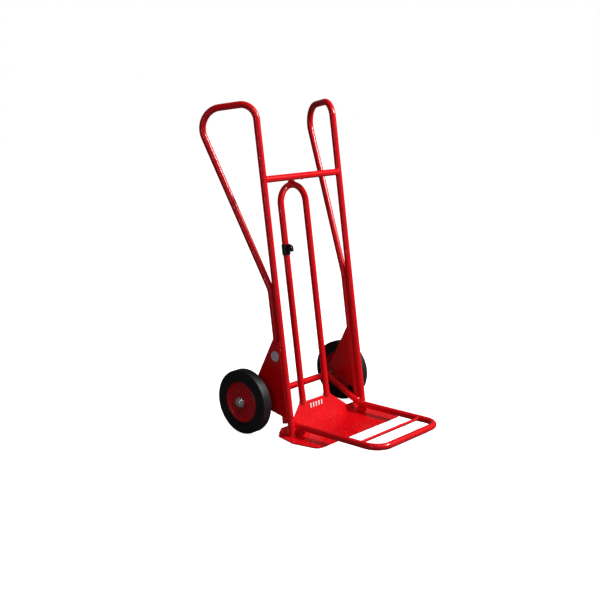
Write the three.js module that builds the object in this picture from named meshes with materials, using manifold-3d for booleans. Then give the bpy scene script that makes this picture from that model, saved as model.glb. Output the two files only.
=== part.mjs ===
// Hand truck with bent-tube side loops, a fixed toe plate and a folding toe frame.
// Millimetres, +Z up. The origin is on the floor between the feet of the two uprights.
// The toe points to -Y, the wheels stand at +Y, and X runs along the axle.

import * as THREE from 'three'
import { mergeVertices } from 'three/addons/utils/BufferGeometryUtils.js'
import Module from 'manifold-3d'

const wasm = await Module()
wasm.setup()

// Driving dimensions
const overallHeight = 1216
const overallWidth = 640
const gap = 0.3

const tubeRadius = 12.5
const tubeSides = 16
const lean = 0.133
const uprightX = 208

const sideBendRadius = 60
const handleBendRadius = 75
const topBendHeight = overallHeight - tubeRadius + 0.116 * sideBendRadius
const handleOut = 97
const handleBack = 218.5
const handleDrop = 30
const returnBendRadius = 90
const returnBendHeight = 541
const returnOffset = 25.7
const returnEndHeight = 48

const crossbarHeight = 939
const hoopX = 69
const hoopBack = 61
const hoopTopHeight = 902
const hoopFootHeight = 86
const strutRadius = 8
const strutHeight = 935
const strutBendRadius = 14

const plateThickness = 4
const plateFrontY = -158.5
const plateBendY = 36
const plateCornerRadius = 28
const upstandSlope = 0.439

const axleY = 173
const axleZ = 121
const axleRadius = 10
const boreRadius = 10.3
const bracketX = uprightX + tubeRadius + gap
const bracketThickness = 4
const spacerRadius = 13

const wheelRadius = 121
const tyreInnerX = 261
const tyreOuterX = 301
const tyreShoulder = 6
const rimRadius = 77
const bearingRadius = 15
const hubInnerX = 227.2
const hubOuterX = 301
const hubRingRadius = 28
const webX = 288
const capRadius = 21

const toeX = 181
const toeZ = 36.3
const toeFrontY = -382.5
const toeCornerRadius = 58
const toeHeelRadius = 60
const toeRodY = -289.5
const toeRodRadius = 6
const sleeveRadius = 12.9
const sleeveHalfLength = 194

const clipHeight = 667
const clipLength = 40
const clipReach = 34

// Finishes
const red = { color: 0xd80a1c, roughness: 0.32, metalness: 0.1 }
const steel = { color: 0xc4c6c8, roughness: 0.3, metalness: 1 }
const chrome = { color: 0xe2e4e6, roughness: 0.12, metalness: 1 }
const blackPlastic = { color: 0x141416, roughness: 0.5, metalness: 0 }
const rubber = { color: 0x1c1b1d, roughness: 0.8, metalness: 0 }
const paleLabel = { color: 0xe6e6e4, roughness: 0.4, metalness: 0 }

function piece(name, geometry, finish) {
  const mesh = new THREE.Mesh(geometry, new THREE.MeshStandardMaterial(finish))
  mesh.name = name
  return mesh
}

function vec(x, y, z) {
  return new THREE.Vector3(x, y, z)
}

// Boolean work on closed meshes
function toSolid(geometry) {
  const bare = geometry.clone()
  bare.deleteAttribute('normal')
  bare.deleteAttribute('uv')
  const merged = mergeVertices(bare, 1e-4)
  const vertProperties = new Float32Array(merged.attributes.position.array)
  const triVerts = new Uint32Array(merged.index.array)
  return new wasm.Manifold(new wasm.Mesh({ numProp: 3, vertProperties, triVerts }))
}

function toGeometry(solid) {
  const mesh = solid.getMesh()
  const geometry = new THREE.BufferGeometry()
  geometry.setAttribute('position', new THREE.BufferAttribute(new Float32Array(mesh.vertProperties), 3))
  geometry.setIndex(new THREE.BufferAttribute(new Uint32Array(mesh.triVerts), 1))
  return geometry
}

function cut(geometry, ...cutters) {
  let solid = toSolid(geometry)
  for (const cutter of cutters) solid = solid.subtract(toSolid(cutter))
  return toGeometry(solid)
}

function join(geometry, ...others) {
  let solid = toSolid(geometry)
  for (const other of others) solid = solid.add(toSolid(other))
  return toGeometry(solid)
}

// A straight round bar between two points
function bar(radius, from, to, sides = tubeSides) {
  const length = from.distanceTo(to)
  const direction = to.clone().sub(from).normalize()
  const geometry = new THREE.CylinderGeometry(radius, radius, length, sides)
  geometry.applyQuaternion(new THREE.Quaternion().setFromUnitVectors(vec(0, 1, 0), direction))
  const middle = from.clone().add(to).multiplyScalar(0.5)
  return geometry.translate(middle.x, middle.y, middle.z)
}

// A turned piece: the profile holds [radius, x] pairs and turns about the axle line
function turned(profile, sides = 32) {
  const points = profile.map(([radius, x]) => new THREE.Vector2(radius, x))
  const geometry = new THREE.LatheGeometry(points, sides)
  geometry.rotateZ(-Math.PI / 2)
  return geometry
}

// The centre line of a bent tube: straight runs with a round bend at each inner corner
class BentRoute extends THREE.Curve {
  constructor(corners, bendRadii, bendSteps = 6) {
    super()
    this.places = [corners[0]]
    this.directions = [corners[1].clone().sub(corners[0]).normalize()]
    for (let i = 1; i < corners.length - 1; i++) {
      const inward = corners[i].clone().sub(corners[i - 1]).normalize()
      const outward = corners[i + 1].clone().sub(corners[i]).normalize()
      const turn = inward.angleTo(outward)
      const reach = bendRadii[i - 1] * Math.tan(turn / 2)
      const side = outward.clone().addScaledVector(inward, -inward.dot(outward)).normalize()
      const start = corners[i].clone().addScaledVector(inward, -reach)
      const centre = start.clone().addScaledVector(side, bendRadii[i - 1])
      for (let step = 0; step <= bendSteps; step++) {
        const angle = turn * step / bendSteps
        const place = centre.clone()
        place.addScaledVector(side, -bendRadii[i - 1] * Math.cos(angle))
        place.addScaledVector(inward, bendRadii[i - 1] * Math.sin(angle))
        const direction = inward.clone().multiplyScalar(Math.cos(angle))
        direction.addScaledVector(side, Math.sin(angle))
        this.places.push(place)
        this.directions.push(direction)
      }
    }
    const last = corners.length - 1
    this.places.push(corners[last])
    this.directions.push(corners[last].clone().sub(corners[last - 1]).normalize())
  }

  get steps() {
    return this.places.length - 1
  }

  getPoint(t) {
    const index = Math.min(Math.floor(t * this.steps + 1e-9), this.steps - 1)
    return this.places[index].clone().lerp(this.places[index + 1], t * this.steps - index)
  }

  getPointAt(t) {
    return this.getPoint(t)
  }

  getTangentAt(t) {
    return this.directions[Math.round(t * this.steps)].clone()
  }
}

function bentTube(radius, corners, bendRadii, bendSteps = 6) {
  const route = new BentRoute(corners, bendRadii, bendSteps)
  const section = new THREE.Shape().absarc(0, 0, radius, 0, 2 * Math.PI)
  return new THREE.ExtrudeGeometry(section, {
    steps: route.steps, curveSegments: tubeSides / 2, bevelEnabled: false, extrudePath: route,
  })
}

// Places that several pieces share
const sides = [['left', -1], ['right', 1]]

function onUpright(side, z, back = 0) {
  return vec(side * uprightX, lean * z + back, z)
}

function onHoop(x, z) {
  return vec(x, lean * z + hoopBack, z)
}

const axle = x => vec(x, axleY, axleZ)

// Side loops: foot, upright, handle, and the diagonal that returns behind the upright
function sideTube(side) {
  const top = onUpright(side, topBendHeight)
  const handleEnd = top.clone().add(vec(side * handleOut, handleBack, -handleDrop))
  return bentTube(tubeRadius, [
    onUpright(side, plateThickness + 2.4),
    top,
    handleEnd,
    onUpright(side, returnBendHeight, returnOffset),
    onUpright(side, returnEndHeight, returnOffset),
  ], [sideBendRadius, handleBendRadius, returnBendRadius])
}

// Crossbar between the uprights, with its ends coped round them
function topCrossbar() {
  const y = lean * crossbarHeight
  const rail = bar(tubeRadius, vec(-uprightX, y, crossbarHeight), vec(uprightX, y, crossbarHeight))
  const saddles = sides.map(([, side]) =>
    bar(tubeRadius + gap, onUpright(side, crossbarHeight - 60), onUpright(side, crossbarHeight + 60)))
  return cut(rail, ...saddles)
}

// Centre hoop: two straight legs and a round top
function centreHoop() {
  return bentTube(tubeRadius, [
    onHoop(-hoopX, hoopFootHeight),
    onHoop(-hoopX, hoopTopHeight),
    onHoop(hoopX, hoopTopHeight),
    onHoop(hoopX, hoopFootHeight),
  ], [hoopX - 0.5, hoopX - 0.5], 8)
}

// Bent strut: it stands on the crown of the hoop and turns forward into the back of the crossbar
function hoopStrut() {
  const crown = onHoop(0, hoopTopHeight)
  const rail = vec(0, lean * crossbarHeight, crossbarHeight)
  const corner = vec(0, crown.y, strutHeight)
  const strut = bentTube(strutRadius, [crown, corner, vec(0, rail.y, strutHeight)], [strutBendRadius])
  const railCut = bar(tubeRadius + gap, rail.clone().setX(-40), rail.clone().setX(40))
  const crownCut = bar(tubeRadius + gap + 0.3, crown.clone().setX(-40), crown.clone().setX(40))
  return cut(strut, railCut, crownCut)
}

// Fixed toe plate: floor sheet, low rear ears and a tall centre tab bent up in one piece
function fixedToePlate() {
  const floorOutline = new THREE.Shape()
  floorOutline.moveTo(-240, plateBendY + 3)
  floorOutline.lineTo(-262, -50)
  floorOutline.lineTo(-248, plateFrontY + plateCornerRadius)
  floorOutline.quadraticCurveTo(-244, plateFrontY, -248 + plateCornerRadius, plateFrontY)
  floorOutline.lineTo(248 - plateCornerRadius, plateFrontY)
  floorOutline.quadraticCurveTo(244, plateFrontY, 248, plateFrontY + plateCornerRadius)
  floorOutline.lineTo(262, -50)
  floorOutline.lineTo(240, plateBendY + 3)
  const floorSheet = new THREE.ExtrudeGeometry(floorOutline, {
    depth: plateThickness, curveSegments: 5, bevelEnabled: false,
  })

  const earTop = 25
  const tabTop = 84
  const rise = Math.hypot(1, upstandSlope)
  const upstandOutline = new THREE.Shape()
  upstandOutline.moveTo(-240, 0)
  upstandOutline.lineTo(-230, 15 * rise)
  upstandOutline.lineTo(-214, earTop * rise)
  upstandOutline.lineTo(-163, earTop * rise)
  upstandOutline.lineTo(-86, tabTop * rise)
  upstandOutline.lineTo(86, tabTop * rise)
  upstandOutline.lineTo(163, earTop * rise)
  upstandOutline.lineTo(214, earTop * rise)
  upstandOutline.lineTo(230, 15 * rise)
  upstandOutline.lineTo(240, 0)
  const upstand = new THREE.ExtrudeGeometry(upstandOutline, {
    depth: plateThickness, curveSegments: 6, bevelEnabled: false,
  })
  upstand.rotateX(Math.PI / 2 - Math.atan(upstandSlope))
  upstand.translate(0, plateBendY + plateThickness, 0)
  const floorCut = new THREE.BoxGeometry(600, 200, 40)
  floorCut.translate(0, plateBendY, -20)
  return cut(join(floorSheet, upstand), floorCut)
}

// Side bracket: a flat plate on the outer face of both tubes, which carries the axle
function wheelBracket() {
  const outline = new THREE.Shape()
  outline.moveTo(lean * 70 + 1, 70)
  outline.lineTo(lean * 352 + 1, 352)
  outline.lineTo(74, 368)
  outline.lineTo(183, 162)
  outline.absarc(axleY - 6, axleZ + 17, 32, 0.45, -1.3, true)
  outline.lineTo(112, 92)
  outline.lineTo(lean * 70 + 1, 70)
  outline.holes.push(new THREE.Path().absarc(axleY, axleZ, boreRadius, 0, 2 * Math.PI))
  const plate = new THREE.ExtrudeGeometry(outline, {
    depth: bracketThickness, curveSegments: 8, bevelEnabled: false,
  })
  plate.rotateX(Math.PI / 2)
  plate.rotateZ(Math.PI / 2)
  return plate
}

function ring(inner, outer, fromX, toX, sidesRound = 32) {
  return turned([[inner, fromX], [outer, fromX], [outer, toX], [inner, toX], [inner, fromX]], sidesRound)
}

// Axle cap: a dome pressed over the axle end
function axleCap() {
  const back = hubOuterX + 2.6
  const front = overallWidth / 2
  const dome = [[boreRadius, back], [capRadius, back], [capRadius, back + 3]]
  for (let step = 1; step < 5; step++) {
    const angle = Math.PI / 2 * step / 5
    dome.push([capRadius * Math.cos(angle), back + 3 + (front - back - 3) * Math.sin(angle)])
  }
  dome.push([0, front], [0, front - 4], [boreRadius, front - 4], [boreRadius, back])
  return turned(dome, 24)
}

// Solid rubber tyre with round shoulders
function tyre() {
  const profile = [[rimRadius + gap, tyreInnerX]]
  for (const [x, from] of [[tyreInnerX + tyreShoulder, Math.PI], [tyreOuterX - tyreShoulder, Math.PI / 2]]) {
    for (let step = 0; step <= 3; step++) {
      const angle = from - Math.PI / 2 * step / 3
      const radius = wheelRadius - tyreShoulder + tyreShoulder * Math.sin(angle)
      profile.push([radius, x + tyreShoulder * Math.cos(angle)])
    }
  }
  profile.push([rimRadius + gap, tyreOuterX], [rimRadius + gap, tyreInnerX])
  return turned(profile, 36)
}

// Rim: hub tube with a raised ring, shallow web and the band that the tyre sits on
function rim() {
  const bandRadius = rimRadius - 6
  return turned([
    [bearingRadius + gap, hubInnerX], [24, hubInnerX], [24, webX - 6], [60, webX - 4],
    [bandRadius, tyreInnerX + 6], [rimRadius, tyreInnerX + 3], [rimRadius, tyreOuterX - 1],
    [bandRadius + 2, tyreOuterX - 1], [bandRadius - 2, webX + 4], [hubRingRadius + 2, webX + 3],
    [hubRingRadius, hubOuterX - 1], [hubRingRadius - 5, hubOuterX - 1], [hubRingRadius - 6, hubOuterX],
    [bearingRadius + gap, hubOuterX], [bearingRadius + gap, hubInnerX],
  ], 36)
}

// Folding toe: one tube from the axle down to the heel, forward, across the front and back
function toeTube() {
  const end = side => vec(side * toeX, axleY, axleZ + 5)
  const heel = side => vec(side * toeX, -2, toeZ)
  const corner = side => vec(side * toeX, toeFrontY, toeZ)
  const tube = bentTube(
    tubeRadius,
    [end(-1), heel(-1), corner(-1), corner(1), heel(1), end(1)],
    [toeHeelRadius, toeCornerRadius, toeCornerRadius, toeHeelRadius],
    5,
  )
  const socket = bar(sleeveRadius + gap, axle(-260), axle(260), 24)
  const behind = new THREE.BoxGeometry(500, 40, 80).translate(0, axleY + 20, axleZ)
  return cut(tube, socket, behind)
}

function toeRod() {
  const rod = bar(toeRodRadius, vec(-toeX, toeRodY, toeZ), vec(toeX, toeRodY, toeZ), 12)
  const saddles = sides.map(([, side]) =>
    bar(tubeRadius + gap, vec(side * toeX, toeRodY - 30, toeZ), vec(side * toeX, toeRodY + 30, toeZ)))
  return cut(rod, ...saddles)
}

// Hook clip: a split collar on the left hoop leg with a hook for the folded toe
function hookClip() {
  const collar = new THREE.Shape().absarc(0, 0, 15.5, 0, 2 * Math.PI)
  collar.holes.push(new THREE.Path().absarc(0, 0, tubeRadius + gap, 0, 2 * Math.PI))
  const sleeve = new THREE.ExtrudeGeometry(collar, { depth: clipLength, curveSegments: 10, bevelEnabled: false })
  sleeve.translate(0, 0, -clipLength / 2)

  const hook = new THREE.Shape()
  const top = clipLength / 2
  hook.moveTo(-14.5, top)
  hook.lineTo(-clipReach + 10, top - 3)
  hook.quadraticCurveTo(-clipReach, top - 7, -clipReach, top - 16)
  hook.lineTo(-clipReach, -5)
  hook.absarc(-clipReach + 4, -5, 4, Math.PI, 2 * Math.PI)
  hook.lineTo(-clipReach + 8, top - 16)
  hook.quadraticCurveTo(-clipReach + 8, top - 11, -clipReach + 14, top - 10)
  hook.lineTo(-14.5, top - 9)
  const arm = new THREE.ExtrudeGeometry(hook, { depth: 12, curveSegments: 4, bevelEnabled: false })
  arm.translate(0, 0, -6)
  arm.rotateX(Math.PI / 2)
  arm.rotateZ(Math.PI / 2)

  const clip = join(sleeve, arm)
  const bore = new THREE.CylinderGeometry(tubeRadius + gap, tubeRadius + gap, 2 * clipLength, 20)
  bore.rotateX(Math.PI / 2)
  return cut(clip, bore)
}

// Frame: everything that is welded, pressed or glued to the uprights
const frame = new THREE.Group()
for (const [word, side] of sides) {
  frame.add(piece(`${word}_side_tube`, sideTube(side), red))

  const bracket = piece(`${word}_wheel_bracket`, wheelBracket(), red)
  bracket.position.x = side > 0 ? bracketX : -bracketX - bracketThickness
  frame.add(bracket)

  const inner = sleeveHalfLength + 0.5
  const outer = bracketX - gap
  const spacerFrom = side > 0 ? inner : -outer
  const spacer = piece(`${word}_axle_spacer`, ring(boreRadius, spacerRadius, 0, outer - inner, 24), steel)
  spacer.position.copy(axle(spacerFrom))
  frame.add(spacer)

  const innerWasherFrom = bracketX + bracketThickness + gap
  const innerWasher = piece(`${word}_inner_washer`, ring(boreRadius, 18, 0, 2, 24), steel)
  innerWasher.position.copy(axle(side > 0 ? innerWasherFrom : -innerWasherFrom - 2))
  frame.add(innerWasher)

  const outerWasher = piece(`${word}_outer_washer`, ring(boreRadius, 17, 0, 2, 24), steel)
  outerWasher.position.copy(axle(side > 0 ? hubOuterX + gap : -hubOuterX - gap - 2))
  frame.add(outerWasher)

  const cap = piece(`${word}_axle_cap`, axleCap(), chrome)
  cap.position.copy(axle(0))
  cap.rotation.z = side > 0 ? 0 : Math.PI
  frame.add(cap)

  const badgeFrom = bracketX + bracketThickness + gap
  const badge = piece(`${word}_badge`, bar(19, vec(0, 0, 0), vec(1.5, 0, 0), 32), steel)
  badge.position.set(side > 0 ? badgeFrom : -badgeFrom - 1.5, 66, 300)
  frame.add(badge)

  const rest = piece(`${word}_toe_rest`, bar(9.5, vec(0, 0, 0), vec(0, 34, 0)), red)
  rest.position.set(side * toeX, -30, plateThickness + gap + 9.5)
  frame.add(rest)
}
frame.add(piece('top_crossbar', topCrossbar(), red))
frame.add(piece('centre_hoop', centreHoop(), red))
frame.add(piece('hoop_strut', hoopStrut(), red))
frame.add(piece('fixed_toe_plate', fixedToePlate(), red))
frame.add(piece('axle_rod', bar(axleRadius, axle(4.6 - overallWidth / 2), axle(overallWidth / 2 - 4.6), 24), steel))

const label = piece('tab_label', new THREE.BoxGeometry(78, 0.8, 22), paleLabel)
label.rotation.x = -Math.atan(upstandSlope)
label.position.set(-2, plateBendY + upstandSlope * 66 - 1.1, 66)
frame.add(label)

// Folding toe
const foldingToe = new THREE.Group()
foldingToe.add(piece('toe_tube', toeTube(), red))
foldingToe.add(piece('toe_rod', toeRod(), red))
const sleeve = piece('toe_pivot_sleeve', ring(boreRadius, sleeveRadius, -sleeveHalfLength, sleeveHalfLength, 24), red)
sleeve.position.copy(axle(0))
foldingToe.add(sleeve)

// Wheels
const wheels = new THREE.Group()
for (const [word, side] of sides) {
  const wheel = new THREE.Group()
  wheel.position.copy(axle(0))
  wheel.rotation.z = side > 0 ? 0 : Math.PI
  wheel.add(piece(`${word}_tyre`, tyre(), rubber))
  wheel.add(piece(`${word}_rim`, rim(), red))
  wheel.add(piece(`${word}_wheel_bearing`, ring(boreRadius, bearingRadius, hubInnerX, hubOuterX), steel))
  wheels.add(wheel)
}

// Hook clip on the left hoop leg
const clip = piece('hook_clip', hookClip(), blackPlastic)
clip.position.copy(onHoop(-hoopX, clipHeight))
clip.rotation.x = -Math.atan(lean)

const handTruck = new THREE.Group()
handTruck.add(frame, foldingToe, wheels, clip)

export default handTruck
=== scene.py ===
import math

import bpy
from mathutils import Matrix, Vector


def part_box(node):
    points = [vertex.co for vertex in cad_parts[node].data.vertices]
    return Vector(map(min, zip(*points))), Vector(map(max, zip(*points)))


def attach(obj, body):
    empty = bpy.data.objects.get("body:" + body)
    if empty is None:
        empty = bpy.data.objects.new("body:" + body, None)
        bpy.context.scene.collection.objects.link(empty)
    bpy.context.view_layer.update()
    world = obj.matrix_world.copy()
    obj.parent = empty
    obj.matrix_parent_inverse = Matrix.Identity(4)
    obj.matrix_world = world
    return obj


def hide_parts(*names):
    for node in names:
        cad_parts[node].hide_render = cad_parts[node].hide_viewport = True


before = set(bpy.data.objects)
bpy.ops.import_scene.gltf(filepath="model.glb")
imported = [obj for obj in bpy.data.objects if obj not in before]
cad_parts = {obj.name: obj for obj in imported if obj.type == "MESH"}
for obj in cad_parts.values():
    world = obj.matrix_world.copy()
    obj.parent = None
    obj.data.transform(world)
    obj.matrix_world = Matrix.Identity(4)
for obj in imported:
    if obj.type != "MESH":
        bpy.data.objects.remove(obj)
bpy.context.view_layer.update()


# Camera: stands ahead of the truck on its left side, a little above its handles, and looks
# slightly down. Its angles are those of a long-lens view of the whole truck.
camera_azimuth = math.radians(-47.634)
camera_height_angle = math.radians(12.004)
camera_roll = math.radians(-0.677)
camera_place = Vector((-2.8130, -2.4210, 1.2723))

away = Vector((
    math.sin(camera_azimuth) * math.cos(camera_height_angle),
    -math.cos(camera_azimuth) * math.cos(camera_height_angle),
    math.sin(camera_height_angle),
))
level_right = Vector((math.cos(camera_azimuth), math.sin(camera_azimuth), 0))
level_up = away.cross(level_right)
right = math.cos(camera_roll) * level_right + math.sin(camera_roll) * level_up
up = -math.sin(camera_roll) * level_right + math.cos(camera_roll) * level_up

bpy.ops.object.camera_add(location=camera_place)
camera = bpy.context.object
camera.rotation_euler = Matrix((right, up, away)).transposed().to_euler()
camera.data.lens = 60.94
camera.data.sensor_width = 36
bpy.context.scene.camera = camera


# Studio: the floor and surround look white but give back little light, and a soft key light hangs
# at the front right. A tall strip at the left and one overhead draw bright lines along the tubes.
floor_size = 40
floor_drop = 0.0008
floor_tone_given = 0.10
floor_tone_seen = 0.93
floor_glow_seen = 0.88
sky_spread = 0.60
sky_dark = 0.01
sky_bright = 0.42
sky_strength_mirrored = 0.07
sky_strength_seen = 1.0

bpy.ops.mesh.primitive_plane_add(size=floor_size, location=(0, 0, -floor_drop))
floor = bpy.context.object
floor.name = "studio_floor"
floor_material = bpy.data.materials.new("pale_floor")
floor_material.use_nodes = True
floor_tree = floor_material.node_tree
floor_shader = floor_tree.nodes["Principled BSDF"]
floor_shader.inputs["Roughness"].default_value = 0.9
floor_shader.inputs["Specular IOR Level"].default_value = 0.1
floor_seen = floor_tree.nodes.new("ShaderNodeLightPath").outputs["Is Camera Ray"]
floor_tone = floor_tree.nodes.new("ShaderNodeMix")
floor_tone.data_type = "RGBA"
floor_tone.inputs[6].default_value = (floor_tone_given, floor_tone_given, floor_tone_given, 1)
floor_tone.inputs[7].default_value = (floor_tone_seen, floor_tone_seen, floor_tone_seen, 1)
floor_tree.links.new(floor_seen, floor_tone.inputs["Factor"])
floor_tree.links.new(floor_tone.outputs[2], floor_shader.inputs["Base Color"])
floor_lift = floor_tree.nodes.new("ShaderNodeMath")
floor_lift.operation = "MULTIPLY"
floor_lift.inputs[1].default_value = floor_glow_seen
floor_tree.links.new(floor_seen, floor_lift.inputs[0])
floor_shader.inputs["Emission Color"].default_value = (1, 1, 1, 1)
floor_tree.links.new(floor_lift.outputs[0], floor_shader.inputs["Emission Strength"])
floor.data.materials.append(floor_material)

surround = bpy.data.worlds.new("pale_surround")
surround.use_nodes = True
sky = surround.node_tree
sky_side = sky.nodes.new("ShaderNodeVectorMath")
sky_side.operation = "DOT_PRODUCT"
sky_side.inputs[1].default_value = level_right
sky.links.new(sky.nodes.new("ShaderNodeTexCoord").outputs["Generated"], sky_side.inputs[0])
sky_glow = sky.nodes.new("ShaderNodeMapRange")
sky_glow.inputs["From Min"].default_value = -sky_spread
sky_glow.inputs["From Max"].default_value = sky_spread
sky_glow.inputs["To Min"].default_value = sky_dark
sky_glow.inputs["To Max"].default_value = sky_bright
sky.links.new(sky_side.outputs["Value"], sky_glow.inputs["Value"])
sky_rays = sky.nodes.new("ShaderNodeLightPath")
sky_mirrored = sky.nodes.new("ShaderNodeMix")
sky_mirrored.inputs[3].default_value = sky_strength_mirrored
sky.links.new(sky_rays.outputs["Is Glossy Ray"], sky_mirrored.inputs["Factor"])
sky.links.new(sky_glow.outputs["Result"], sky_mirrored.inputs[2])
sky_strength = sky.nodes.new("ShaderNodeMix")
sky_strength.inputs[3].default_value = sky_strength_seen
sky.links.new(sky_rays.outputs["Is Camera Ray"], sky_strength.inputs["Factor"])
sky.links.new(sky_mirrored.outputs[0], sky_strength.inputs[2])
sky.links.new(sky_strength.outputs[0], sky.nodes["Background"].inputs["Strength"])
sky.nodes["Background"].inputs["Color"].default_value = (1, 1, 1, 1)
bpy.context.scene.world = surround
bpy.context.scene.view_settings.view_transform = "Standard"


def soft_light(name, place, target, size, power, colour=(1, 1, 1)):
    bpy.ops.object.light_add(type="AREA", location=place)
    light = bpy.context.object
    light.name = name
    light.rotation_euler = (Vector(target) - Vector(place)).to_track_quat("-Z", "Y").to_euler()
    light.data.shape = "RECTANGLE"
    light.data.size, light.data.size_y = size
    light.data.energy = power
    light.data.color = colour


soft_light("key_light", place=(1.9, -2.8, 3.3), target=(0, 0, 0.5), size=(0.9, 0.9), power=200)
soft_light(
    "left_strip", place=(-3.1, -0.7, 1.3), target=(0, 0, 0.6), size=(0.06, 2.6), power=10,
    colour=(1.0, 0.70, 0.90))
soft_light("top_strip", place=(-0.2, -1.6, 3.4), target=(0, 0, 0.7), size=(1.8, 0.30), power=14)


# Powder coat: the red finish of every welded piece. It was sprayed and baked, so it is glossy
# with a fine orange peel, and it has faint scuffs all over and a little dust near the floor.
mottle_scale = 14.0
speckle_scale = 130.0
scuff_scale = 55.0
coat_roughness = 0.08
surface_reflection = 0.4


def new_group(name, inputs, outputs):
    group = bpy.data.node_groups.new(name, "ShaderNodeTree")
    for label, kind, value in inputs:
        socket = group.interface.new_socket(label, in_out="INPUT", socket_type=kind)
        socket.default_value = value
    for label, kind in outputs:
        group.interface.new_socket(label, in_out="OUTPUT", socket_type=kind)
    return group, group.nodes.new("NodeGroupInput"), group.nodes.new("NodeGroupOutput")


def noise(tree, scale, detail, place):
    node = tree.nodes.new("ShaderNodeTexNoise")
    node.inputs["Scale"].default_value = scale
    node.inputs["Detail"].default_value = detail
    tree.links.new(place, node.inputs["Vector"])
    return node.outputs["Fac"]


def ramp(tree, value, low, high):
    node = tree.nodes.new("ShaderNodeMapRange")
    node.inputs["From Min"].default_value = low
    node.inputs["From Max"].default_value = high
    tree.links.new(value, node.inputs["Value"])
    return node.outputs["Result"]


def blend_colour(tree, mask, first, second):
    node = tree.nodes.new("ShaderNodeMix")
    node.data_type = "RGBA"
    tree.links.new(mask, node.inputs["Factor"])
    for value, socket in ((first, node.inputs[6]), (second, node.inputs[7])):
        if isinstance(value, tuple):
            socket.default_value = value
        else:
            tree.links.new(value, socket)
    return node.outputs[2]


def calculate(tree, operation, first, second):
    node = tree.nodes.new("ShaderNodeMath")
    node.operation = operation
    node.use_clamp = True
    for value, socket in ((first, node.inputs[0]), (second, node.inputs[1])):
        if isinstance(value, (int, float)):
            socket.default_value = value
        else:
            tree.links.new(value, socket)
    return node.outputs[0]


def make_finish_detail():
    """Masks that every finish shares: mottle, fine peel, scuffs, and dust that settles low down."""
    group, given, result = new_group(
        "finish_detail",
        [("Peel Scale", "NodeSocketFloat", 900.0), ("Dust Height", "NodeSocketFloat", 0.12)],
        [("Mottle", "NodeSocketFloat"), ("Peel", "NodeSocketFloat"),
         ("Dust", "NodeSocketFloat"), ("Scuff", "NodeSocketFloat")],
    )
    place = group.nodes.new("ShaderNodeTexCoord").outputs["Object"]
    mottle = noise(group, mottle_scale, 4.0, place)
    peel = group.nodes.new("ShaderNodeTexNoise")
    peel.inputs["Detail"].default_value = 2.0
    group.links.new(place, peel.inputs["Vector"])
    group.links.new(given.outputs["Peel Scale"], peel.inputs["Scale"])
    split = group.nodes.new("ShaderNodeSeparateXYZ")
    group.links.new(place, split.inputs["Vector"])
    height = group.nodes.new("ShaderNodeMapRange")
    group.links.new(split.outputs["Z"], height.inputs["Value"])
    group.links.new(given.outputs["Dust Height"], height.inputs["From Max"])
    height.inputs["From Min"].default_value = 0
    height.inputs["To Min"].default_value = 1
    height.inputs["To Max"].default_value = 0
    speckle = ramp(group, noise(group, speckle_scale, 6.0, place), 0.48, 0.75)
    dust = calculate(group, "MULTIPLY", height.outputs["Result"], speckle)
    scuff = ramp(group, noise(group, scuff_scale, 9.0, place), 0.66, 0.74)
    group.links.new(mottle, result.inputs["Mottle"])
    group.links.new(peel.outputs["Fac"], result.inputs["Peel"])
    group.links.new(dust, result.inputs["Dust"])
    group.links.new(scuff, result.inputs["Scuff"])
    return group


finish_detail = make_finish_detail()


def finish(name, colour, deep, dust_colour, roughness, peel_depth, metallic=0.0, coat=0.0,
           peel_scale=900.0, dust_height=0.12, dust_amount=0.5, scuff_amount=0.15):
    material = bpy.data.materials.new(name)
    material.use_nodes = True
    tree = material.node_tree
    shader = tree.nodes["Principled BSDF"]
    detail = tree.nodes.new("ShaderNodeGroup")
    detail.node_tree = finish_detail
    detail.inputs["Peel Scale"].default_value = peel_scale
    detail.inputs["Dust Height"].default_value = dust_height
    tone = blend_colour(tree, ramp(tree, detail.outputs["Mottle"], 0.3, 0.7), deep, colour)
    dust = calculate(tree, "MULTIPLY", detail.outputs["Dust"], dust_amount)
    toned = blend_colour(tree, dust, tone, dust_colour)
    tree.links.new(toned, shader.inputs["Base Color"])
    scuffed = calculate(tree, "MULTIPLY", detail.outputs["Scuff"], scuff_amount)
    dulled = calculate(tree, "ADD", dust, scuffed)
    tree.links.new(calculate(tree, "ADD", dulled, roughness), shader.inputs["Roughness"])
    bump = tree.nodes.new("ShaderNodeBump")
    bump.inputs["Distance"].default_value = peel_depth
    bump.inputs["Strength"].default_value = 1.0
    tree.links.new(detail.outputs["Peel"], bump.inputs["Height"])
    tree.links.new(bump.outputs["Normal"], shader.inputs["Normal"])
    shader.inputs["Metallic"].default_value = metallic
    shader.inputs["Coat Weight"].default_value = coat
    shader.inputs["Coat Roughness"].default_value = coat_roughness
    shader.inputs["Specular IOR Level"].default_value = surface_reflection
    return material


powder_coat = finish(
    "red_powder_coat", (0.80, 0.0008, 0.006, 1), (0.70, 0.0006, 0.005, 1), (0.42, 0.16, 0.14, 1),
    roughness=0.25, peel_depth=0.000007, coat=0.2, peel_scale=420.0, dust_amount=0.08, scuff_amount=0.05,
)

merge_distance = 0.00001


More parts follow.
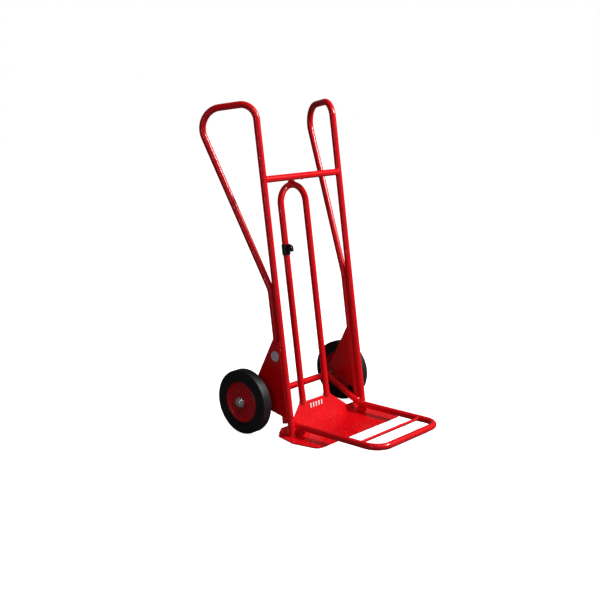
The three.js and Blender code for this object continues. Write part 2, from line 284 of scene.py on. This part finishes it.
def finished(piece, name, body, material, replaced=(), angle=40):
    """Names a modelled piece, cleans its normals and ties it to its body."""
    piece.name = name
    piece.data.name = name
    piece.data.materials.clear()
    piece.data.materials.append(material)
    bpy.ops.object.select_all(action="DESELECT")
    piece.select_set(True)
    bpy.context.view_layer.objects.active = piece
    bpy.ops.object.transform_apply(location=True, rotation=True, scale=True)
    bpy.ops.object.mode_set(mode="EDIT")
    bpy.ops.mesh.select_all(action="SELECT")
    bpy.ops.mesh.remove_doubles(threshold=merge_distance)
    bpy.ops.mesh.delete_loose(use_faces=False)
    bpy.ops.mesh.select_all(action="SELECT")
    bpy.ops.mesh.normals_make_consistent(inside=False)
    bpy.ops.object.mode_set(mode="OBJECT")
    bpy.ops.object.shade_smooth_by_angle(angle=math.radians(angle))
    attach(piece, body)
    if replaced:
        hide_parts(*replaced)
    return piece


# Bent tubes: cold-drawn steel tube, 25 mm across with a 1.5 mm wall, bent on a die and sawn
# off square. Each is drawn out ring by ring: pulled along its straights, spun round its bends.
tube_radius = 0.0125
tube_wall = 0.0015
tube_facets = 40
degrees_per_ring = 5
fewest_rings = 4
end_tolerance = 1e-5
lean = 0.133
upright_x = 0.208
foot_height = 0.0044


def draw_tube(radius, corners, bends, hollow_ends=(False, False), bore_depth=0.03, facets=tube_facets):
    bpy.ops.object.select_all(action="DESELECT")
    first = (corners[1] - corners[0]).normalized()
    turn = Vector((0, 0, 1)).rotation_difference(first).to_euler()
    bpy.ops.mesh.primitive_circle_add(
        vertices=facets, radius=radius, location=corners[0], rotation=turn, fill_type="NOTHING")
    tube = bpy.context.object
    bpy.ops.object.transform_apply(location=True, rotation=True, scale=True)
    bpy.ops.object.mode_set(mode="EDIT")
    bpy.ops.mesh.select_mode(type="EDGE")
    bpy.ops.mesh.select_all(action="SELECT")
    place = corners[0]
    for before, corner, after, bend in zip(corners, corners[1:], corners[2:], bends):
        inward = (corner - before).normalized()
        outward = (after - corner).normalized()
        angle = inward.angle(outward)
        reach = bend * math.tan(angle / 2)
        start = corner - inward * reach
        side = (outward - inward * inward.dot(outward)).normalized()
        steps = max(fewest_rings, round(math.degrees(angle) / degrees_per_ring))
        bpy.ops.mesh.extrude_region_move(TRANSFORM_OT_translate={"value": start - place})
        bpy.ops.mesh.spin(
            steps=steps, angle=-angle, center=start + side * bend, axis=inward.cross(outward).normalized())
        place = corner + outward * reach
    bpy.ops.mesh.extrude_region_move(TRANSFORM_OT_translate={"value": corners[-1] - place})
    bpy.ops.object.mode_set(mode="OBJECT")
    close_end(tube, corners[0], corners[0] - corners[1], radius, hollow_ends[0] * bore_depth)
    close_end(tube, corners[-1], corners[-1] - corners[-2], radius, hollow_ends[1] * bore_depth)
    return tube


def close_end(tube, place, outward, radius, bore_depth):
    """Fills the ring at a tube's end. A sawn end gets its wall and a short stretch of bore."""
    outward = outward.normalized()
    for vertex in tube.data.vertices:
        offset = vertex.co - place
        vertex.select = abs(offset.dot(outward)) < end_tolerance and offset.length < 1.2 * radius
    for edge in tube.data.edges:
        edge.select = all(tube.data.vertices[index].select for index in edge.vertices)
    for face in tube.data.polygons:
        face.select = False
    bpy.ops.object.mode_set(mode="EDIT")
    bpy.ops.mesh.select_mode(type="EDGE")
    bpy.ops.mesh.edge_face_add()
    if bore_depth:
        bpy.ops.mesh.select_mode(type="FACE")
        bpy.ops.mesh.inset(thickness=tube_wall, depth=0)
        bpy.ops.mesh.extrude_region_move(TRANSFORM_OT_translate={"value": -bore_depth * outward})
    bpy.ops.object.mode_set(mode="OBJECT")


# Side loops: one long tube on each side. It rises from the plate as the upright, bends back and
# outwards as the handle, then comes down as a diagonal and runs on close behind the upright.
top_bend_height = 1.21046
handle_reach = Vector((0.097, 0.2185, -0.030))
return_height = 0.541
return_offset = 0.0257
return_end_height = 0.048
upright_bend = 0.060
handle_bend = 0.075
return_bend = 0.090


def on_upright(side, height, back=0.0):
    return Vector((side * upright_x, lean * height + back, height))


for word, side in (("left", -1), ("right", 1)):
    top = on_upright(side, top_bend_height)
    handle_end = top + Vector((side * handle_reach.x, handle_reach.y, handle_reach.z))
    loop = draw_tube(
        tube_radius,
        [on_upright(side, foot_height), top, handle_end,
         on_upright(side, return_height, return_offset),
         on_upright(side, return_end_height, return_offset)],
        [upright_bend, handle_bend, return_bend], hollow_ends=(False, True))
    finished(loop, f"{word}_side_loop", "frame", powder_coat, [f"{word}_side_tube"])


# Crossbar and hoop: the crossbar's ends run into the uprights, under the weld beads. The hoop is
# one tube bent to a long U, held by a bent strut at its crown and welded to the tab at its feet.
crossbar_height = 0.939
crossbar_sink = 0.55
hoop_x = 0.069
hoop_back = 0.061
hoop_top = 0.902
hoop_bend = hoop_x - 0.0005
hoop_foot_lift = 0.0017
hoop_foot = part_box("centre_hoop")[0].z + hoop_foot_lift


def on_hoop(x, height):
    return Vector((x, lean * height + hoop_back, height))


crossbar_end = upright_x - tube_radius * crossbar_sink
crossbar = draw_tube(
    tube_radius,
    [Vector((-crossbar_end, lean * crossbar_height, crossbar_height)),
     Vector((crossbar_end, lean * crossbar_height, crossbar_height))], [])
finished(crossbar, "crossbar", "frame", powder_coat, ["top_crossbar"])

hoop = draw_tube(
    tube_radius,
    [on_hoop(-hoop_x, hoop_foot), on_hoop(-hoop_x, hoop_top),
     on_hoop(hoop_x, hoop_top), on_hoop(hoop_x, hoop_foot)],
    [hoop_bend, hoop_bend], hollow_ends=(True, True))
finished(hoop, "hoop", "frame", powder_coat, ["centre_hoop"])

rail = Vector((0, lean * crossbar_height, crossbar_height))
crown = on_hoop(0, hoop_top)
strut_radius = 0.008
strut_height = 0.935
strut_bend = 0.014
strut_sink = 0.006
strut_corner = Vector((0, crown.y, strut_height))
strut = draw_tube(
    strut_radius,
    [crown + Vector((0, 0, strut_sink)), strut_corner, Vector((0, rail.y + strut_sink, strut_height))],
    [strut_bend])
finished(strut, "strut", "frame", powder_coat, ["hoop_strut"])


# Toe plate: one 4 mm sheet, cut with rounded front corners, with its tab and ears folded up
# behind. The brackets are flat plates of the same stock. Their cut edges are broken and soft.
plate_edge = 0.0009
bracket_edge = 0.0007


def softened_copy(node, edge_radius, segments=3, angle=28):
    """A clean copy of a CAD piece, with its sharp edges rounded."""
    bpy.ops.object.select_all(action="DESELECT")
    copy = bpy.data.objects.new(node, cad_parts[node].data.copy())
    bpy.context.scene.collection.objects.link(copy)
    copy.select_set(True)
    bpy.context.view_layer.objects.active = copy
    bpy.ops.object.mode_set(mode="EDIT")
    bpy.ops.mesh.select_all(action="SELECT")
    bpy.ops.mesh.remove_doubles(threshold=merge_distance)
    bpy.ops.mesh.dissolve_limited(angle_limit=math.radians(1))
    bpy.ops.object.mode_set(mode="OBJECT")
    edge = copy.modifiers.new("broken_edge", "BEVEL")
    edge.width = edge_radius
    edge.segments = segments
    edge.limit_method = "ANGLE"
    edge.angle_limit = math.radians(angle)
    bpy.ops.object.modifier_apply(modifier=edge.name)
    return copy


def flat_faced(piece):
    """Lets the large flat faces rule the shading, so only the broken edges look round."""
    weighted = piece.modifiers.new("flat_faces", "WEIGHTED_NORMAL")
    weighted.keep_sharp = True
    bpy.ops.object.select_all(action="DESELECT")
    piece.select_set(True)
    bpy.context.view_layer.objects.active = piece
    bpy.ops.object.modifier_apply(modifier=weighted.name)


plate = softened_copy("fixed_toe_plate", plate_edge)
flat_faced(finished(plate, "toe_plate", "frame", powder_coat, ["fixed_toe_plate"]))

for word in ("left", "right"):
    bracket = softened_copy(f"{word}_wheel_bracket", bracket_edge)
    finished(bracket, f"{word}_bracket", "frame", powder_coat, [f"{word}_wheel_bracket"])
    flat_faced(bracket)


# Toe frame: one bent tube from the sleeve down to the heel, round the front and back up. A rod
# ties its sides, and its coped legs are welded to the sleeve that turns on the axle.
axle_low, axle_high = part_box("axle_rod")
axle = (axle_low + axle_high) / 2
toe_low, toe_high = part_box("toe_tube")
toe_x = toe_high.x - tube_radius
toe_height = toe_low.z + tube_radius
toe_front = toe_low.y + tube_radius
heel_y = -0.002
leg_rise = 0.005
heel_bend = 0.060
toe_corner_bend = 0.058
cope_overlap = 0.0002
rod_sink = 0.8
sleeve_radius = (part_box("toe_pivot_sleeve")[1].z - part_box("toe_pivot_sleeve")[0].z) / 2
sleeve_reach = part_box("toe_pivot_sleeve")[1].x


def toe_corner(side, y, height):
    return Vector((side * toe_x, y, height))


toe = draw_tube(
    tube_radius,
    [toe_corner(-1, axle.y, axle.z + leg_rise), toe_corner(-1, heel_y, toe_height),
     toe_corner(-1, toe_front, toe_height), toe_corner(1, toe_front, toe_height),
     toe_corner(1, heel_y, toe_height), toe_corner(1, axle.y, axle.z + leg_rise)],
    [heel_bend, toe_corner_bend, toe_corner_bend, heel_bend])
bpy.ops.mesh.primitive_cylinder_add(
    vertices=64, radius=sleeve_radius - cope_overlap, depth=2 * toe_x + 0.1,
    location=(0, axle.y, axle.z), rotation=(0, math.pi / 2, 0))
cope = bpy.context.object
bpy.context.view_layer.objects.active = toe
cut = toe.modifiers.new("cope", "BOOLEAN")
cut.object = cope
cut.operation = "DIFFERENCE"
bpy.ops.object.modifier_apply(modifier=cut.name)
bpy.data.objects.remove(cope)
finished(toe, "toe_frame", "folding_toe", powder_coat, ["toe_tube"])

rod_low, rod_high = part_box("toe_rod")
rod_radius = (rod_high.y - rod_low.y) / 2
rod_y = (rod_low.y + rod_high.y) / 2
rod_end = toe_x - tube_radius * rod_sink
toe_rod = draw_tube(
    rod_radius, [Vector((-rod_end, rod_y, toe_height)), Vector((rod_end, rod_y, toe_height))], [])
finished(toe_rod, "toe_tie_rod", "folding_toe", powder_coat, ["toe_rod"])


# Turned pieces on the axle: the sleeve, spacers, washers, bearings and domed caps. Each one is
# a profile spun round the axle's line, with its edges chamfered.
bore_radius = 0.0103
axle_radius = 0.010
axle_nose_radius = 0.0085
axle_nose = 0.0015
turned_chamfer = 0.0006
washer_chamfer = 0.0003
fine_steps = 56


def turned(profile, steps=72):
    """Spins a closed profile of (radius, x) points round the axle."""
    bpy.ops.object.select_all(action="DESELECT")
    bpy.ops.mesh.primitive_plane_add(size=0.001, location=(profile[0][1], axle.y, axle.z + profile[0][0]))
    piece = bpy.context.object
    bpy.ops.object.transform_apply(location=True, rotation=True, scale=True)
    bpy.ops.object.mode_set(mode="EDIT")
    bpy.ops.mesh.select_mode(type="VERT")
    bpy.ops.mesh.select_all(action="SELECT")
    bpy.ops.mesh.merge(type="CENTER")
    for (radius, x), (next_radius, next_x) in zip(profile, profile[1:]):
        bpy.ops.mesh.extrude_vertices_move(
            TRANSFORM_OT_translate={"value": (next_x - x, 0, next_radius - radius)})
    bpy.ops.mesh.select_all(action="SELECT")
    bpy.ops.mesh.remove_doubles(threshold=0.000001)
    bpy.ops.mesh.select_all(action="SELECT")
    bpy.ops.mesh.spin(steps=steps, angle=2 * math.pi, center=(0, axle.y, axle.z), axis=(1, 0, 0))
    bpy.ops.object.mode_set(mode="OBJECT")
    return piece


def ring_profile(inner, outer, start, end, chamfer):
    return [
        (inner, start), (outer - chamfer, start), (outer, start + chamfer), (outer, end - chamfer),
        (outer - chamfer, end), (inner, end), (inner, start),
    ]


zinc = finish(
    "zinc_plate", (0.62, 0.63, 0.65, 1), (0.50, 0.51, 0.54, 1), (0.36, 0.33, 0.30, 1),
    roughness=0.26, peel_depth=0.00003, metallic=0.95, peel_scale=700.0, dust_amount=0.25)
chrome = finish(
    "chrome_plate", (0.80, 0.81, 0.83, 1), (0.72, 0.73, 0.76, 1), (0.45, 0.42, 0.40, 1),
    roughness=0.20, peel_depth=0.00001, metallic=0.85, peel_scale=300.0, dust_amount=0.12, scuff_amount=0.1)

sleeve = turned(ring_profile(bore_radius, sleeve_radius, -sleeve_reach, sleeve_reach, turned_chamfer))
finished(sleeve, "toe_sleeve", "folding_toe", powder_coat, ["toe_pivot_sleeve"])

for node, chamfer in (
        ("axle_spacer", turned_chamfer), ("inner_washer", washer_chamfer), ("outer_washer", washer_chamfer)):
    for word in ("left", "right"):
        low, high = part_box(f"{word}_{node}")
        part = turned(ring_profile(bore_radius, (high.z - low.z) / 2, low.x, high.x, chamfer), fine_steps)
        finished(part, f"{word}_turned_{node}", "frame", zinc, [f"{word}_{node}"])

rod = turned([
    (0, axle_low.x), (axle_nose_radius, axle_low.x), (axle_radius, axle_low.x + axle_nose),
    (axle_radius, axle_high.x - axle_nose), (axle_nose_radius, axle_high.x), (0, axle_high.x)], fine_steps)
finished(rod, "axle", "frame", zinc, ["axle_rod"])

cap_edge = 0.001
cap_rim_height = 0.0022
cap_dome_start = 0.003
cap_dome_inset = 0.0018
cap_bottom = 0.004
dome_rings = 10
for word, side in (("left", -1), ("right", 1)):
    low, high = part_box(f"{word}_axle_cap")
    cap_radius = (high.z - low.z) / 2
    back, front = (high.x, low.x) if side < 0 else (low.x, high.x)
    height = abs(front - back)
    inside = front - side * cap_bottom
    dome = [(bore_radius, back), (cap_radius - cap_edge, back), (cap_radius, back + side * cap_edge),
            (cap_radius, back + side * cap_rim_height), (cap_radius - 0.0014, back + side * cap_dome_start)]
    for step in range(1, dome_rings):
        angle = math.pi / 2 * step / dome_rings
        dome.append((
            (cap_radius - cap_dome_inset) * math.cos(angle),
            back + side * (cap_dome_start + (height - cap_dome_start) * math.sin(angle))))
    dome += [(0, front), (0, inside), (bore_radius, inside), (bore_radius, back)]
    finished(turned(dome), f"{word}_dome_cap", "frame", chrome, [f"{word}_axle_cap"], angle=30)


# Wheels: a ring of plain solid rubber on a pressed steel rim. The rubber has a mould line round
# its middle and a raised ring on each side, and the rim's dish has nine ribs and a hub boss.
rubber = finish(
    "solid_rubber", (0.0085, 0.0080, 0.0095, 1), (0.0055, 0.0055, 0.0065, 1), (0.10, 0.09, 0.085, 1),
    roughness=0.50, peel_depth=0.00012, peel_scale=1300.0, dust_height=0.245, dust_amount=0.35,
    scuff_amount=0.2)
rim_paint = finish(
    "rim_paint", (0.62, 0.001, 0.008, 1), (0.50, 0.0008, 0.007, 1), (0.34, 0.18, 0.15, 1),
    roughness=0.26, peel_depth=0.000007, coat=0.2, peel_scale=420.0, dust_height=0.2, dust_amount=0.10,
    scuff_amount=0.08)

tyre_gap = 0.0003
hub_bore = 0.0153
bearing_radius = 0.015
bearing_chamfer = 0.0005
rib_count = 9
rib_turn = 0.45
rib_place = 0.048
rib_inset = 0.0106
rib_size = (0.0046, 0.038, 0.0026)
rib_edge = 0.0010
for word, side in (("left", -1), ("right", 1)):
    low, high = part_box(f"{word}_tyre")
    outer, inner = (low.x, high.x) if side < 0 else (high.x, low.x)
    tread = (high.z - low.z) / 2
    seat = (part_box(f"{word}_rim")[1].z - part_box(f"{word}_rim")[0].z) / 2 + tyre_gap
    middle = (outer + inner) / 2
    section = [(seat, 1.0), (seat + 0.003, 1.0), (seat + 0.005, 0.965), (seat + 0.028, 0.965),
               (seat + 0.0295, 0.985), (seat + 0.0315, 0.985), (seat + 0.0330, 0.955),
               (tread - 0.0032, 0.945), (tread - 0.0016, 0.925), (tread - 0.0005, 0.880),
               (tread - 0.0002, 0.800), (tread - 0.0002, 0.035), (tread, 0.018)]
    profile = [(radius, middle + (outer - middle) * share) for radius, share in section]
    profile += [(radius, middle - (outer - middle) * share) for radius, share in reversed(section)]
    profile.append(profile[0])
    finished(
        turned(profile, 128), f"{word}_rubber", f"{word}_wheel", rubber, [f"{word}_tyre"],
        angle=25)

    rim_low, rim_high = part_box(f"{word}_rim")
    hub_in, hub_out = (rim_high.x, rim_low.x) if side < 0 else (rim_low.x, rim_high.x)
    rim_radius = seat - tyre_gap

    def depth(inset):
        return outer - side * inset

    dish = [
        (hub_bore, hub_in), (0.0225, hub_in), (0.024, hub_in + side * 0.0015), (0.024, depth(0.0200)),
        (0.0580, depth(0.0165)), (0.0670, depth(0.0210)), (0.0710, inner + side * 0.006),
        (rim_radius - 0.001, inner + side * 0.003), (rim_radius, inner + side * 0.004),
        (rim_radius, depth(0.0035)), (rim_radius - 0.0004, depth(0.0012)),
        (rim_radius - 0.0018, depth(0.0003)),
        (rim_radius - 0.0035, depth(0.0008)), (rim_radius - 0.0050, depth(0.0030)), (0.0690, depth(0.0085)),
        (0.0655, depth(0.0105)), (0.0600, depth(0.0110)), (0.0360, depth(0.0100)), (0.0310, depth(0.0092)),
        (0.0290, depth(0.0070)), (0.0283, depth(0.0022)), (0.0272, depth(0.0010)), (0.0255, depth(0.0008)),
        (0.0243, depth(0.0014)), (0.0236, depth(0.0035)), (0.0205, depth(0.0040)), (0.0190, depth(0.0012)),
        (0.0175, hub_out), (hub_bore, hub_out), (hub_bore, hub_in)]
    rim = turned(dish, 96)
    ribs = []
    for number in range(rib_count):
        angle = 2 * math.pi * (number + rib_turn) / rib_count
        reach = Vector((0, math.cos(angle), math.sin(angle)))
        bpy.ops.mesh.primitive_cube_add(
            size=1, location=Vector((depth(rib_inset), axle.y, axle.z)) + rib_place * reach,
            rotation=(angle, 0, 0), scale=rib_size)
        rib = bpy.context.object
        bpy.ops.object.transform_apply(location=True, rotation=True, scale=True)
        bpy.ops.object.mode_set(mode="EDIT")
        bpy.ops.mesh.select_all(action="SELECT")
        bpy.ops.mesh.bevel(offset=rib_edge, segments=3)
        bpy.ops.object.mode_set(mode="OBJECT")
        ribs.append(rib)
    for part in ribs + [rim]:
        part.select_set(True)
    bpy.context.view_layer.objects.active = rim
    bpy.ops.object.join()
    finished(rim, f"{word}_pressed_rim", f"{word}_wheel", rim_paint, [f"{word}_rim"], angle=30)

    bearing = turned(
        ring_profile(bore_radius, bearing_radius, rim_low.x, rim_high.x, bearing_chamfer), fine_steps)
    finished(bearing, f"{word}_bearing", f"{word}_wheel", zinc, [f"{word}_wheel_bearing"])


# Small pieces: the toe rests are short bored bars, the badges are blank discs with a raised ring,
# the marking on the tab is five plain slanted bars, and the hook clip is moulded black plastic.
rest_bore_depth = 0.015
for word in ("left", "right"):
    low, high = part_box(f"{word}_toe_rest")
    rest_radius = (high.z - low.z) / 2
    rest_x = (low.x + high.x) / 2
    rest_height = (low.z + high.z) / 2
    rest = draw_tube(
        rest_radius, [Vector((rest_x, low.y, rest_height)), Vector((rest_x, high.y, rest_height))], [],
        hollow_ends=(True, True), bore_depth=rest_bore_depth)
    finished(rest, f"{word}_rest", "frame", powder_coat, [f"{word}_toe_rest"])

badge_metal = finish(
    "badge_aluminium", (0.86, 0.87, 0.90, 1), (0.76, 0.77, 0.80, 1), (0.5, 0.48, 0.46, 1),
    roughness=0.28, peel_depth=0.00003, metallic=0.35, peel_scale=1600.0)
for word, side in (("left", -1), ("right", 1)):
    low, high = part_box(f"{word}_badge")
    centre = (low + high) / 2
    radius = (high.z - low.z) / 2
    bpy.ops.object.select_all(action="DESELECT")
    bpy.ops.mesh.primitive_cylinder_add(
        vertices=64, radius=radius, depth=high.x - low.x, location=centre,
        rotation=(0, side * math.pi / 2, 0))
    badge = bpy.context.object
    bpy.ops.object.transform_apply(location=True, rotation=True, scale=True)
    for face in badge.data.polygons:
        face.select = face.normal.x * side > 0.9
    bpy.ops.object.mode_set(mode="EDIT")
    bpy.ops.mesh.select_mode(type="FACE")
    bpy.ops.mesh.inset(thickness=0.0006, depth=0)
    bpy.ops.mesh.inset(thickness=0.0025, depth=0)
    bpy.ops.mesh.inset(thickness=0.0006, depth=-0.0007)
    bpy.ops.mesh.inset(thickness=0.0080, depth=0)
    bpy.ops.mesh.inset(thickness=0.0006, depth=0.0004)
    bpy.ops.object.mode_set(mode="OBJECT")
    finished(
        badge, f"{word}_blank_badge", "frame", badge_metal, [f"{word}_badge"], angle=20)

marking = finish(
    "white_marking", (0.84, 0.84, 0.83, 1), (0.78, 0.78, 0.77, 1), (0.5, 0.46, 0.42, 1),
    roughness=0.38, peel_depth=0.00003, peel_scale=600.0)
label_low, label_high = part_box("tab_label")
label_centre = (label_low + label_high) / 2
tab_slope = 0.439
tab_up = Vector((0, tab_slope, 1)).normalized()
tab_out = Vector((0, -1, tab_slope)).normalized()
bar_count = 5
bar_height = 0.017
bar_thickness = 0.0005
bar_share = 0.42
bar_slant = 0.35
bar_edge = 0.00012
bar_pitch = (label_high.x - label_low.x) / bar_count
bars = []
for number in range(bar_count):
    x = label_low.x + bar_pitch * (number + 0.5)
    bpy.ops.mesh.primitive_cube_add(
        size=1, location=(0, 0, 0), scale=(bar_pitch * bar_share, bar_height, bar_thickness))
    bar = bpy.context.object
    bpy.ops.object.transform_apply(location=True, rotation=True, scale=True)
    bpy.ops.object.mode_set(mode="EDIT")
    bpy.ops.mesh.select_all(action="SELECT")
    bpy.ops.mesh.bevel(offset=bar_edge, segments=2)
    bpy.ops.object.mode_set(mode="OBJECT")
    for vertex in bar.data.vertices:
        flat = vertex.co.copy()
        slanted = flat.x + bar_slant * flat.y
        vertex.co = (
            Vector((x, label_centre.y, label_centre.z)) + Vector((slanted, 0, 0))
            + tab_up * flat.y + tab_out * flat.z)
    bars.append(bar)
bpy.ops.object.select_all(action="DESELECT")
for bar in bars:
    bar.select_set(True)
bpy.context.view_layer.objects.active = bars[0]
bpy.ops.object.join()
finished(bars[0], "tab_bars", "frame", marking, ["tab_label"])

moulded_black = finish(
    "moulded_black", (0.009, 0.009, 0.010, 1), (0.006, 0.006, 0.007, 1), (0.12, 0.11, 0.10, 1),
    roughness=0.34, peel_depth=0.00008, peel_scale=1100.0, dust_amount=0.1)
clip_edge = 0.0011
clip = softened_copy("hook_clip", clip_edge, segments=4)
finished(clip, "moulded_clip", "hook_clip", moulded_black, ["hook_clip"])


# Weld beads: MIG fillets run round each joint before painting, so they wear the same red. Each
# is a round bead that swells and sinks along its length, laid on the line where two pieces meet.
bead_ripple = 0.0034
bead_swell = 0.16


def weld_bead(name, body, places, radius=0.0024, closed=False):
    """Lays one bead along a list of places, with a ripple every few millimetres."""
    bead = bpy.data.curves.new(name, "CURVE")
    bead.dimensions = "3D"
    bead.bevel_depth = radius
    bead.bevel_resolution = 3
    bead.use_fill_caps = not closed
    line = bead.splines.new("POLY")
    line.points.add(len(places) - 1)
    travelled = 0.0
    for number, place in enumerate(places):
        if number:
            travelled += (place - places[number - 1]).length
        line.points[number].co = (*place, 1)
        line.points[number].radius = 1 + bead_swell * math.sin(2 * math.pi * travelled / bead_ripple)
    line.use_cyclic_u = closed
    piece = bpy.data.objects.new(name, bead)
    bpy.context.scene.collection.objects.link(piece)
    bpy.ops.object.select_all(action="DESELECT")
    piece.select_set(True)
    bpy.context.view_layer.objects.active = piece
    bpy.ops.object.convert(target="MESH")
    return finished(bpy.context.object, name, body, powder_coat)


def saddle(centre, along, radius, target, target_axis, target_radius, steps=72):
    """The closed line where a bar, followed along its axis, meets the surface of another tube."""
    along = along.normalized()
    target_axis = target_axis.normalized()
    across = along.orthogonal().normalized()
    other = along.cross(across)
    places = []
    for step in range(steps):
        angle = 2 * math.pi * step / steps
        start = centre + radius * (math.cos(angle) * across + math.sin(angle) * other)
        offset = start - target
        offset -= target_axis * offset.dot(target_axis)
        travel = along - target_axis * along.dot(target_axis)
        square = travel.dot(travel)
        half = offset.dot(travel)
        root = max(half * half - square * (offset.dot(offset) - target_radius * target_radius), 0)
        places.append(start + along * ((-half - math.sqrt(root)) / square))
    return places


def straight(start, end, pitch=0.0008):
    steps = max(2, round((end - start).length / pitch))
    return [start.lerp(end, step / steps) for step in range(steps + 1)]


def circle(centre, first, second, radius, steps=72):
    """A closed line round a centre, in the plane of two directions that are square to each other."""
    angles = [2 * math.pi * step / steps for step in range(steps)]
    return [centre + radius * (math.cos(angle) * first + math.sin(angle) * second) for angle in angles]


upright_way = Vector((0, lean, 1)).normalized()
across_x = Vector((1, 0, 0))
along_y = Vector((0, 1, 0))
upward = Vector((0, 0, 1))
foot_weld_height = 0.0045
hoop_foot_weld_lift = 0.0006
plate_weld_sink = 0.0002
bracket_welds = (("top", 0.340, 0.356), ("upper", 0.318, 0.332), ("lower", 0.098, 0.116))
bracket_peak = ((0.0585, 0.3615), (0.0700, 0.3685))
tube_welds = (("low", 0.080), ("middle", 0.300), ("high", 0.470))
tube_weld_half = 0.012
tube_groove = 0.0045
rest_weld_side = 0.0052
rest_weld_height = 0.0056
rest_weld_back = 0.001
rest_weld_front = -0.027

for word, side in (("left", -1), ("right", 1)):
    weld_bead(f"{word}_crossbar_weld", "frame", saddle(
        Vector((0, lean * crossbar_height, crossbar_height)), side * across_x, tube_radius + 0.0003,
        on_upright(side, crossbar_height), upright_way, tube_radius + 0.0004), 0.0022, closed=True)
    weld_bead(f"{word}_foot_weld", "frame", circle(
        on_upright(side, foot_weld_height), across_x, along_y, tube_radius + 0.0008), 0.0025, closed=True)
    skin = side * (upright_x + tube_radius + 0.0003)
    for label, low_z, high_z in bracket_welds:
        weld_bead(f"{word}_{label}_bracket_weld", "frame", straight(
            Vector((skin, lean * low_z - plate_weld_sink, low_z)),
            Vector((skin, lean * high_z - plate_weld_sink, high_z))))
    weld_bead(f"{word}_bracket_peak_weld", "frame", straight(
        Vector((skin, *bracket_peak[0])), Vector((skin, *bracket_peak[1]))))
    for label, height in tube_welds:
        for face in (-1, 1):
            where = "outer" if face == side else "inner"
            groove = Vector((side * upright_x + face * tube_groove, return_offset / 2, 0))
            low_z, high_z = height - tube_weld_half, height + tube_weld_half
            weld_bead(f"{word}_{label}_{where}_tube_weld", "frame", straight(
                groove + Vector((0, lean * low_z, low_z)),
                groove + Vector((0, lean * high_z, high_z))), 0.0030)
    weld_bead(f"{word}_hoop_foot_weld", "frame", circle(
        on_hoop(side * hoop_x, hoop_foot + hoop_foot_weld_lift), across_x, upright_way.cross(across_x),
        tube_radius + 0.0004), 0.0023, closed=True)
    heel = toe_corner(side, heel_y, toe_height)
    leg_way = (toe_corner(side, axle.y, axle.z + leg_rise) - heel).normalized()
    weld_bead(f"{word}_toe_leg_weld", "folding_toe", saddle(
        heel, leg_way, tube_radius + 0.0002, axle, across_x, sleeve_radius + 0.0002), 0.0023, closed=True)
    weld_bead(f"{word}_tie_rod_weld", "folding_toe", saddle(
        Vector((0, rod_y, toe_height)), side * across_x, rod_radius + 0.0002,
        toe_corner(side, rod_y, toe_height), along_y, tube_radius + 0.0002, 48), 0.0018, closed=True)
    for label, edge in (("inner", -1), ("outer", 1)):
        rest_edge_x = side * toe_x + edge * side * rest_weld_side
        weld_bead(f"{word}_{label}_rest_weld", "frame", straight(
            Vector((rest_edge_x, rest_weld_front, rest_weld_height)),
            Vector((rest_edge_x, rest_weld_back, rest_weld_height))), 0.0022)

weld_bead("strut_rail_weld", "frame", saddle(
    strut_corner, -along_y, strut_radius + 0.0006, rail, across_x, tube_radius + 0.0003, 60),
    0.0026, closed=True)
weld_bead("strut_crown_weld", "frame", saddle(
    strut_corner, -upward, strut_radius + 0.0022, crown, across_x, tube_radius + 0.0008, 60),
    0.0034, closed=True)
